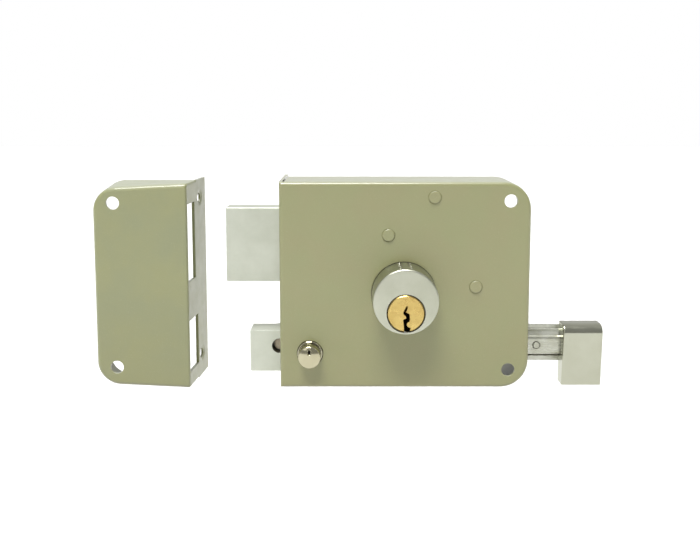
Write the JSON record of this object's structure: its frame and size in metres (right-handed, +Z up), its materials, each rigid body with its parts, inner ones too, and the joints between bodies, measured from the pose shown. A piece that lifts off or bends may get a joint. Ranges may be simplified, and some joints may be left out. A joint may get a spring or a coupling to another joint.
{
  "type": "rim night latch",
  "caption": "Surface rim lock with a thrown rectangular deadbolt, a sprung latch with side pull, a round key cylinder, a hold-back button, and its separate boxed strike.",
  "frame": {"origin": "on the key plug's axis, at the back plate's rear face, which lies on the door", "axes": "+X away from the door edge towards the pull, +Y rearward into the door, +Z up"},
  "size_m": [0.2608, 0.0594, 0.1091],
  "materials": {
    "case_paint": "olive-beige stove enamel, semi-gloss",
    "case_paint_heads": "olive-beige stove enamel over steel rivet heads",
    "strike_paint": "olive-beige stove enamel, semi-gloss",
    "zinc_steel": "bright zinc plate",
    "cylinder_chrome": "satin chrome plate",
    "pin_steel": "plain steel",
    "spring_steel": "spring steel",
    "plug_brass": "turned brass",
    "bolt_nickel": "dull nickel plate",
    "bar_nickel": "bright nickel plate over rolled steel",
    "grip_chrome": "polished chrome",
    "knob_nickel": "polished nickel"
  },
  "bodies": {
    "lock_case": {"case_shell": "case_paint", "back_plate": "zinc_steel", "case_posts": "case_paint_heads", "back_plate_screws": "zinc_steel", "tail_spacers": "zinc_steel", "lever_spacers": "zinc_steel", "cylinder_shell": "cylinder_chrome", "chamber_cover": "cylinder_chrome", "driver_pins": "pin_steel", "pin_springs": "spring_steel", "cylinder_clamp": "zinc_steel", "clamp_studs": "zinc_steel", "clamp_nuts": "zinc_steel", "latch_spring": "spring_steel", "spring_bracket": "zinc_steel", "bracket_rivets": "zinc_steel", "holdback_ferrule": "knob_nickel"},
    "deadbolt": {"deadbolt_head": "bolt_nickel", "deadbolt_tail": "zinc_steel", "deadbolt_rivets": "bolt_nickel"},
    "cylinder_core": {"cylinder_plug": "plug_brass", "key_pins": "plug_brass", "plug_clip": "spring_steel", "drive_pinion": "pin_steel", "pinion_screws": "zinc_steel"},
    "latch": {"latch_bolt": "bolt_nickel", "pull_bar": "bar_nickel", "link_rivets": "bar_nickel", "lever_stud": "zinc_steel", "pull_grip": "grip_chrome", "pull_rivet": "bar_nickel", "spring_rod": "zinc_steel"},
    "lever": {"latch_lever": "zinc_steel"},
    "holdback_button": {"holdback_knob": "knob_nickel", "holdback_clip": "spring_steel"},
    "strike": {"strike_box": "strike_paint"}
  },
  "joints": [
    {"name": "deadbolt_slide", "type": "slide", "parent": "lock_case", "child": "deadbolt", "axis": [1, 0, 0], "range_m": [0, 0.02827]},
    {"name": "cylinder_turn", "type": "hinge", "parent": "lock_case", "child": "cylinder_core", "pos_m": [0, 0, 0], "axis": [0, 1, 0], "range_deg": [-0.5, 360.5]},
    {"name": "latch_slide", "type": "slide", "parent": "lock_case", "child": "latch", "axis": [1, 0, 0], "range_m": [0, 0.0164], "stiffness_N_per_m": 350, "springref_m": -0.02, "deforming": ["latch_spring"]},
    {"name": "lever_swing", "type": "hinge", "parent": "lock_case", "child": "lever", "pos_m": [0.0151, -0.0055, 0.0541], "axis": [0, 1, 0], "range_deg": [-12.2, 0.4]},
    {"name": "holdback_push", "type": "slide", "parent": "lock_case", "child": "holdback_button", "axis": [0, 1, 0], "range_m": [0, 0.004]},
    {"name": "strike_closing", "type": "slide", "parent": "lock_case", "child": "strike", "axis": [1, 0, 0], "range_m": [0, 0.0415]}
  ],
  "couplings": [
    {"joint": "cylinder_turn", "follows": "deadbolt_slide", "rad_per_m": 222.22},
    {"joint": "lever_swing", "follows": "latch_slide", "rad_per_m": -12.6}
  ]
}
